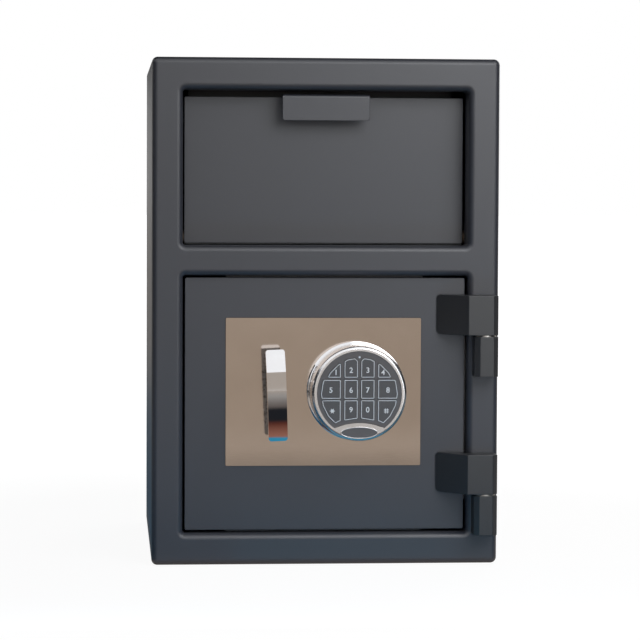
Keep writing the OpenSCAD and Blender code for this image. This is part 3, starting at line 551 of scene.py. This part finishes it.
def thicken(bm, step):
    """Extrudes all faces of a flat shape by a step"""
    made = bmesh.ops.extrude_face_region(bm, geom=bm.faces[:])["geom"]
    bmesh.ops.translate(bm, verts=[part for part in made if isinstance(part, bmesh.types.BMVert)], vec=step)


def face_front(bm, x, y, z):
    """Stands a piece drawn along Z upright, so that its height points to the front"""
    upright = Matrix.Translation((x, y, z)) @ Matrix.Rotation(math.radians(90), 4, "X")
    bmesh.ops.transform(bm, verts=bm.verts, matrix=upright)


# Pieces

class DROPSAFE_OT_finishes(bpy.types.Operator):
    """Makes the finishes and gives every CAD node the one of its slot"""
    bl_idname = "drop_safe.finishes"
    bl_label = "Finishes"

    def execute(self, context):
        make_finishes(context.scene.drop_safe.finish)
        for node in NODES:
            dress(node)
        dress("hinge_washers", "washer")
        dress("keypad_shell", "satin_chrome")
        return {"FINISHED"}


class DROPSAFE_OT_body(bpy.types.Operator):
    """Eases the edges of the hinge knuckles on the body"""
    bl_idname = "drop_safe.body"
    bl_label = "Body"

    def execute(self, context):
        plates = context.scene.drop_safe.plates
        eased("hinge_knuckle_upper", plates.knuckle)
        eased("hinge_knuckle_lower", plates.knuckle)
        return {"FINISHED"}


class DROPSAFE_OT_hopper(bpy.types.Operator):
    """Eases the edges of the hopper's panel and finger pull"""
    bl_idname = "drop_safe.hopper"
    bl_label = "Hopper"

    def execute(self, context):
        plates = context.scene.drop_safe.plates
        eased("hopper_panel", plates.hopper)
        eased("finger_pull", plates.hopper)
        return {"FINISHED"}


class DROPSAFE_OT_door(bpy.types.Operator):
    """Eases the edges of the door, its hinge leaves and the polished plate"""
    bl_idname = "drop_safe.door"
    bl_label = "Door"

    def execute(self, context):
        plates = context.scene.drop_safe.plates
        eased("door_plate", plates.door)
        eased("hinge_leaf_upper", plates.leaf)
        eased("hinge_leaf_lower", plates.leaf)
        eased("polished_plate", plates.polished, 1)
        return {"FINISHED"}


class DROPSAFE_OT_lever(bpy.types.Operator):
    """Makes the chrome lever with soft edges, a high knee and a back left as cast"""
    bl_idname = "drop_safe.lever"
    bl_label = "Lever"

    # How far the bar leans to the side, as on the solid
    LEAN = math.radians(2.3)
    # Edges sharper than this many degrees are rounded, the knee's 21 among them
    ROUNDED_FROM = 19.0
    # Corners this near to the foremost one are on the bar's front
    FRONT_DEPTH = 0.1 * MM
    # Of these, those within this height of the highest are the knee's
    KNEE_HEIGHT = 2 * MM
    # Corners within this height of the highest of all are the top's
    TOP_HEIGHT = 1 * MM
    # A face whose normal points back by more than this is left as cast
    FACES_BACK = 0.6

    def execute(self, context):
        settings = context.scene.drop_safe.lever
        bm = copy_of("handle")
        self.raise_knee(bm, settings.knee)
        self.slope_top(bm, settings.top_slope)
        bevel_sharp(bm, settings.edge, 3, self.ROUNDED_FROM)
        lever = make_piece("lever", bm, "chrome", "handle", replace=True)
        lever.data.materials.append(FINISHES["rough_back"])
        for face in lever.data.polygons:
            if face.normal.y > self.FACES_BACK:
                face.material_index = 1
        return {"FINISHED"}

    def raise_knee(self, bm, rise):
        """Moves the front corners of the knee up along the bar"""
        front = min(v.co.y for v in bm.verts)
        corners = [v for v in bm.verts if v.co.y < front + self.FRONT_DEPTH]
        highest = max(v.co.z for v in corners)
        knee = [v for v in corners if v.co.z > highest - self.KNEE_HEIGHT]
        bmesh.ops.translate(bm, verts=knee, vec=(-rise * math.tan(self.LEAN), 0, rise))

    def slope_top(self, bm, slope):
        """Cuts the bar's upper end so that it falls away to the back"""
        top = max((v.co for v in bm.verts), key=lambda co: co.z).copy()
        top.y = min(v.co.y for v in bm.verts if v.co.z > top.z - self.TOP_HEIGHT)
        normal = (-math.sin(self.LEAN), math.sin(slope), math.cos(slope))
        whole = bm.verts[:] + bm.edges[:] + bm.faces[:]
        cut = bmesh.ops.bisect_plane(
            bm, geom=whole, plane_co=top, plane_no=normal, clear_outer=True
        )["geom_cut"]
        bmesh.ops.contextual_create(bm, geom=[e for e in cut if isinstance(e, bmesh.types.BMEdge)])


class DROPSAFE_OT_keypad(bpy.types.Operator):
    """Makes the keypad's foot, its battery cover, and the cover's oval with a ring"""
    bl_idname = "drop_safe.keypad"
    bl_label = "Keypad"

    # Radius of the hole for the lead, as on the solid
    LEAD_HOLE = 6 * MM

    def execute(self, context):
        settings = context.scene.drop_safe.keypad
        self.foot(settings)
        eased("battery_cover", settings.cover_edge, 4, "satin_chrome")
        eased("cover_inlay", settings.inlay_edge)
        self.ring(settings)
        return {"FINISHED"}

    def foot(self, settings):
        """The keypad's base, whose front falls from the case to a round rim"""
        low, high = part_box("keypad_base")
        case_low, case_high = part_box("keypad_shell")
        lip = settings.foot_lip
        radius, height = (high.x - low.x) / 2, high.y - low.y
        neck = (case_high.x - case_low.x) / 2 - lip
        rim = arc(radius - lip, height - settings.foot_drop, lip, 0, 60)
        hole = self.LEAD_HOLE
        bm = turned([(hole, 0), (radius, 0)] + rim + [(neck, height), (hole, height), (hole, 0)])
        face_front(bm, (low.x + high.x) / 2, high.y, (low.z + high.z) / 2)
        make_piece("keypad_foot", bm, "chrome", "keypad_base", replace=True)

    def ring(self, settings):
        """Thin chrome ring round the oval of the battery cover"""
        low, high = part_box("cover_inlay")
        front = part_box("battery_cover")[0].y
        width = settings.ring_width
        bm = bmesh.new()
        bmesh.ops.create_circle(bm, cap_ends=True, segments=96, radius=1.0)
        half = ((high.x - low.x) / 2 + width, (high.z - low.z) / 2 + width, 1.0)
        bmesh.ops.scale(bm, vec=half, verts=bm.verts)
        oval = bm.faces[:]
        inset(bm, oval, width)
        bmesh.ops.delete(bm, geom=oval, context="FACES")
        thicken(bm, (0, 0, settings.ring_height))
        bevel_sharp(bm, settings.ring_edge, 3, 50.0)
        face_front(bm, (low.x + high.x) / 2, front, (low.z + high.z) / 2)
        make_piece("cover_ring", bm, "chrome", "battery_cover")


class DROPSAFE_OT_keys(bpy.types.Operator):
    """Makes the keys with soft edges, a pale outline and a plain number, star or hash each"""
    bl_idname = "drop_safe.keys"
    bl_label = "Keys"

    # Middle of a mark, row by row, as a share of its key's height
    MARK_UP = (0.39, 0.46, 0.53)
    # And on the outer keys as a share of the width, counted from the outer edge
    MARK_ACROSS = (0.61, 0.50, 0.55)
    # Height of a digit as a share of its typeface's size
    DIGIT_SHARE = 0.7
    # Radius of the star as a share of the symbols' size, and of its notches as a share of that radius
    STAR_SHARE = 0.6
    NOTCH_SHARE = 0.45

    def execute(self, context):
        settings = context.scene.drop_safe.keypad
        for place, label in enumerate(KEYS):
            node = "key_" + label
            eased(node, settings.key_edge)
            self.outline(node, settings)
            self.print_on(node, self.mark(label, settings), divmod(place, KEYS_IN_ROW), settings)
        return {"FINISHED"}

    def outline(self, node, settings):
        """A thin pale line just inside the edge of the key's top"""
        bm = copy_of(node)
        front = min(v.co.y for v in bm.verts)
        lower = [f for f in bm.faces if f.calc_center_median().y > front + SAME_CORNER]
        bmesh.ops.delete(bm, geom=lower, context="FACES")
        top = bm.faces[:]
        margin = inset(bm, top, settings.outline_in + settings.key_edge)
        inset(bm, top, settings.outline)
        bmesh.ops.delete(bm, geom=margin + top, context="FACES")
        thicken(bm, (0, -settings.print_depth, 0))
        make_piece(node + "_outline", bm, "print", node)

    def mark(self, label, settings):
        """The mark of a key, lying on the ground plane"""
        if label == "star":
            return self.star_mark(settings)
        if label == "hash":
            return self.hash_mark(settings)
        return self.digit_mark(label, settings)

    def digit_mark(self, text, settings):
        """A plain digit"""
        curve = bpy.data.curves.new("digit_" + text, "FONT")
        curve.body = text
        curve.size = settings.number_height / self.DIGIT_SHARE
        curve.offset = settings.number_weight
        curve.extrude = settings.print_depth / 2
        holder = new_object("digit_" + text, curve)
        shape = bpy.context.evaluated_depsgraph_get()
        shape.update()
        bm = bmesh.new()
        bm.from_mesh(holder.evaluated_get(shape).to_mesh())
        bpy.data.objects.remove(holder)
        bpy.data.curves.remove(curve)
        bmesh.ops.remove_doubles(bm, verts=bm.verts, dist=SAME_POINT)
        return bm

    def star_mark(self, settings):
        """A small star with six points"""
        bm = bmesh.new()
        radius = settings.symbol_size * self.STAR_SHARE
        corners = bmesh.ops.create_circle(bm, cap_ends=True, segments=12, radius=radius)["verts"]
        bmesh.ops.scale(bm, vec=(self.NOTCH_SHARE, self.NOTCH_SHARE, 1.0), verts=corners[::2])
        thicken(bm, (0, 0, settings.print_depth))
        return bm

    def hash_mark(self, settings):
        """Two upright bars crossed by two level ones: a grid of five by five cells without its gaps"""
        half, bar, step = settings.symbol_size / 2, settings.symbol_bar / 2, settings.symbol_size / 5
        lines = [-half, -step - bar, -step + bar, step - bar, step + bar, half]
        bm = bmesh.new()
        bmesh.ops.create_grid(bm, x_segments=5, y_segments=5, size=2.5)
        gaps = [f for f in bm.faces if all(round(abs(at)) != 1 for at in f.calc_center_median().xy)]
        for v in bm.verts:
            v.co.xy = [lines[round(at + 2.5)] for at in v.co.xy]
        bmesh.ops.delete(bm, geom=gaps, context="FACES")
        thicken(bm, (0, 0, settings.print_depth))
        return bm

    def print_on(self, node, bm, place, settings):
        """Sets a mark on its key, standing a hair proud of the top"""
        row, column = place
        low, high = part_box(node)
        side = self.MARK_ACROSS[row] if column in (0, KEYS_IN_ROW - 1) else 0.5
        across = side if column < KEYS_IN_ROW / 2 else 1 - side
        reach = [[v.co[axis] for v in bm.verts] for axis in range(3)]
        bmesh.ops.translate(bm, verts=bm.verts, vec=[-(min(part) + max(part)) / 2 for part in reach])
        face_front(
            bm, low.x + (high.x - low.x) * across, low.y - settings.print_depth / 2,
            low.z + (high.z - low.z) * self.MARK_UP[row]
        )
        make_piece(node + "_number", bm, "numbers", node)


# Stage

class DROPSAFE_OT_stage(bpy.types.Operator):
    """Makes the pale floor, the white surroundings, the lamps, the mirrored cards and the camera"""
    bl_idname = "drop_safe.stage"
    bl_label = "Stage"

    # Half the floor's width, and how far it lies under the safe
    FLOOR_HALF = 30.0
    FLOOR_SUNK = 0.5 * MM
    # Strength of the floor's glow, its tone in gloss, and how much of it gloss shows
    FLOOR_GLOW = 1.17
    FLOOR_TONE = (0.93, 0.78, 0.64)
    FLOOR_IN_GLOSS = 0.30
    # Distance at which the ramp of the floor's glow ends
    FLOOR_FADE = 8.0
    # Strength of the surroundings as a light
    SKY_AS_LIGHT = 0.16

    # What most lamps point at
    MIDDLE = (0.0, -0.1, 0.26)
    # Name, place, target, size, power in watts and colour of each lamp, and whether gloss shows it
    LAMPS = (
        ("key_lamp", (0.5, -1.1, 0.85), MIDDLE, (0.9, 0.6), 5.9, (0.97, 0.98, 1.0), True),
        ("low_lamp", (0.0, -0.55, 0.04), (0.0, -0.17, 0.03), (0.6, 0.06), 0.38, (0.34, 0.64, 1.0), False),
        ("side_lamp", (0.47, -1.3, 0.2), (0.15, -0.17, 0.2), (0.25, 0.35), 0.5, (0.90, 0.96, 1.0), True),
        ("top_lamp", (0.0, 0.6, 2.0), MIDDLE, (1.6, 1.2), 2.0, WHITE, True),
        ("back_lamp", (1.0, 1.9, 1.0), MIDDLE, (1.2, 1.0), 10.0, WHITE, True),
    )

    # Height of the cards that lie on the floor
    ON_FLOOR = 1 * MM
    # Edge of the front cards next to the safe, and how far the striped ones run from there
    FRONT = -0.19
    STRIPED = 1.06
    DARK = (0.014, 0.015, 0.018)
    SIDE_BLUE = (0.010, 0.085, 0.16)
    CYAN = (0.03, 0.26, 0.42)
    BROWN = (0.30, 0.13, 0.09)
    # Tones of the striped cards from their start on: near ones, bright or calm, and those further off
    STRIPES = [(0.0, CYAN), (0.172, CYAN), (0.177, BROWN), (0.26, (0.10, 0.03, 0.02)), (0.29, DARK)]
    CALM = [(0.0, (0.05, 0.16, 0.24)), (0.172, (0.05, 0.14, 0.20)), (0.29, DARK)]
    FAR = [(0.41, DARK), (0.46, (0.13, 0.11, 0.10)), (0.70, (0.31, 0.29, 0.27)), (1.0, (0.40, 0.35, 0.30))]

    def execute(self, context):
        self.floor()
        self.world()
        self.lamps()
        self.cards()
        self.camera(context.scene.drop_safe.camera)
        context.scene.view_settings.view_transform = "Standard"
        return {"FINISHED"}

    def prop(self, name, bm):
        """A thing of the stage, which isn't part of the safe"""
        made = new_object(name, new_mesh(name, bm))
        return made

    def floor(self):
        """Pale floor that takes shadows, and that glows white to the camera and faintly warm to gloss"""
        bm = bmesh.new()
        bmesh.ops.create_grid(bm, x_segments=2, y_segments=2, size=self.FLOOR_HALF)
        floor = self.prop("floor", bm)
        floor.location.z = -self.FLOOR_SUNK
        g = new_graph("pale_floor")
        grain = g.noise(g.place(), 400 * MM, 3.0)
        g.surface(Base_Color=g.mix(grain, (0.52, 0.52, 0.52), (0.56, 0.56, 0.56)), Roughness=0.9)
        seen, mirrored, through = g.rays()
        glow = g.glow(g.mix(mirrored, WHITE, self.FLOOR_TONE), self.FLOOR_GLOW)
        away = g.node("ShaderNodeVectorMath", {"operation": "LENGTH"}, {0: g.place()}, output="Value")
        near = g.ramp(away / self.FLOOR_FADE, [(0.06, 0.8), (0.25, 1.0)])
        share = seen * near + through + mirrored * self.FLOOR_IN_GLOSS
        lit = Value(g, g.shader.outputs[0])
        g.feed(g.end, g.node("ShaderNodeMixShader", None, {0: share, 1: lit, 2: glow}))
        floor.data.materials.append(g.owner)

    def world(self):
        """White to the camera, to gloss and through clear surfaces, and dim as a light"""
        g = Graph(bpy.data.worlds.new("studio"))
        seen, mirrored, through = g.rays()
        shown = g.maths("MAXIMUM", g.maths("MAXIMUM", seen, mirrored), through)
        strength = g.node(
            "ShaderNodeMapRange", None, {"Value": shown, "To Min": self.SKY_AS_LIGHT, "To Max": 1.0}
        )
        bpy.context.scene.world = g.surface(Color=WHITE, Strength=strength)

    def lamps(self):
        for name, place, target, size, power, colour, mirrored in self.LAMPS:
            lamp = bpy.data.lights.new(name, "AREA")
            lamp.shape = "RECTANGLE"
            lamp.size, lamp.size_y = size
            lamp.energy = power
            lamp.color = colour
            holder = new_object(name, lamp)
            holder.location = place
            holder.rotation_euler = (Vector(target) - Vector(place)).to_track_quat("-Z", "Y").to_euler()
            holder.visible_glossy = mirrored

    def cards(self):
        """Dark cards around the safe, a blue one at its left and striped ones in front"""
        low, front, dark = self.ON_FLOOR, self.FRONT, self.DARK
        behind, wall, wall_foot, ceiling, half = 0.5, 3.0, 0.6, 1.7, 2.0
        for side, near, top in ((-1.5, -3.8, 1.1), (1.6, -3.0, 2.2)):
            corners = [(side, near, 0), (side, behind, 0), (side, behind, top), (side, near, top)]
            self.card("dark_card", corners, dark)
        left, right, near, far = -0.55, -0.09, -0.66, 2.2
        side_left, side_right = -0.95, -0.19
        self.level_card("dark_floor", (-1.5, -0.5), (-2.7, near), low, dark)
        self.level_card("dark_ceiling", (-half, half), (-0.5, wall), ceiling, dark)
        ends = [(-half, wall_foot), (half, wall_foot), (half, ceiling), (-half, ceiling)]
        self.card("dark_wall", [(x, wall, z) for x, z in ends], dark)
        outline = [
            (left, near), (right, near), (right, front), (side_right, front),
            (side_right, far), (side_left, far), (side_left, front), (left, front)
        ]
        self.card("blue_side", [(x, y, low) for x, y in outline], self.SIDE_BLUE)
        striped, calm_from = (front - self.STRIPED, front), 0.14
        self.level_card("front_floor", (right, calm_from), striped, low, self.STRIPES + self.FAR)
        self.level_card("front_floor", (calm_from, 1.5), striped, low, self.CALM + self.FAR)

    def level_card(self, name, across, along, height, tone):
        """A rectangular card that lies level, given by its ends across and along"""
        left, right = across
        near, far = along
        corners = [(left, near, height), (right, near, height), (right, far, height), (left, far, height)]
        self.card(name, corners, tone)

    def card(self, name, corners, tone):
        """A card that only gloss shows, in one colour or in stripes that run away from the safe's front"""
        bm = bmesh.new()
        bm.faces.new([bm.verts.new(corner) for corner in corners])
        card = self.prop(name, bm)
        card.visible_camera = card.visible_diffuse = card.visible_transmission = card.visible_shadow = False
        g = new_graph(name)
        cloud = g.noise(g.place(), 300 * MM)
        if isinstance(tone, list):
            y = g.node("ShaderNodeSeparateXYZ", None, {"Vector": g.place()}, output="Y")
            colour = g.ramp((self.FRONT - y) / self.STRIPED + cloud * 0.02, tone)
        else:
            colour = g.mix(cloud, shade(tone, 0.9), shade(tone, 1.1))
        g.feed(g.end, g.glow(colour))
        card.data.materials.append(g.owner)

    def camera(self, settings):
        camera = bpy.data.cameras.new("camera")
        camera.lens = settings.lens
        camera.sensor_width = 36.0
        camera.dof.use_dof = False
        holder = new_object("camera", camera)
        holder.location = (-settings.left, -settings.front, settings.up)
        holder.rotation_euler = (math.pi / 2 - settings.down, settings.roll, -settings.right)
        bpy.context.scene.camera = holder


OPERATORS = (
    DROPSAFE_OT_finishes, DROPSAFE_OT_body, DROPSAFE_OT_hopper, DROPSAFE_OT_door, DROPSAFE_OT_lever,
    DROPSAFE_OT_keypad, DROPSAFE_OT_keys, DROPSAFE_OT_stage
)


class DROPSAFE_PT_panel(bpy.types.Panel):
    """Lists the steps that dress the drop safe"""
    bl_idname = "DROPSAFE_PT_panel"
    bl_label = "Drop safe"
    bl_space_type = "VIEW_3D"
    bl_region_type = "UI"
    bl_category = "Drop safe"

    def draw(self, context):
        for operator in OPERATORS:
            self.layout.operator(operator.bl_idname)


CLASSES = (
    FinishSettings, PlateSettings, KeypadSettings, LeverSettings, CameraSettings, DropSafeSettings
) + OPERATORS + (DROPSAFE_PT_panel,)


def register():
    for cls in CLASSES:
        bpy.utils.register_class(cls)
    bpy.types.Scene.drop_safe = PointerProperty(type=DropSafeSettings)


def unregister():
    del bpy.types.Scene.drop_safe
    for cls in reversed(CLASSES):
        bpy.utils.unregister_class(cls)


def main():
    register()
    for operator in OPERATORS:
        getattr(bpy.ops.drop_safe, operator.bl_idname.split(".")[1])()


if __name__ == "__main__":
    main()
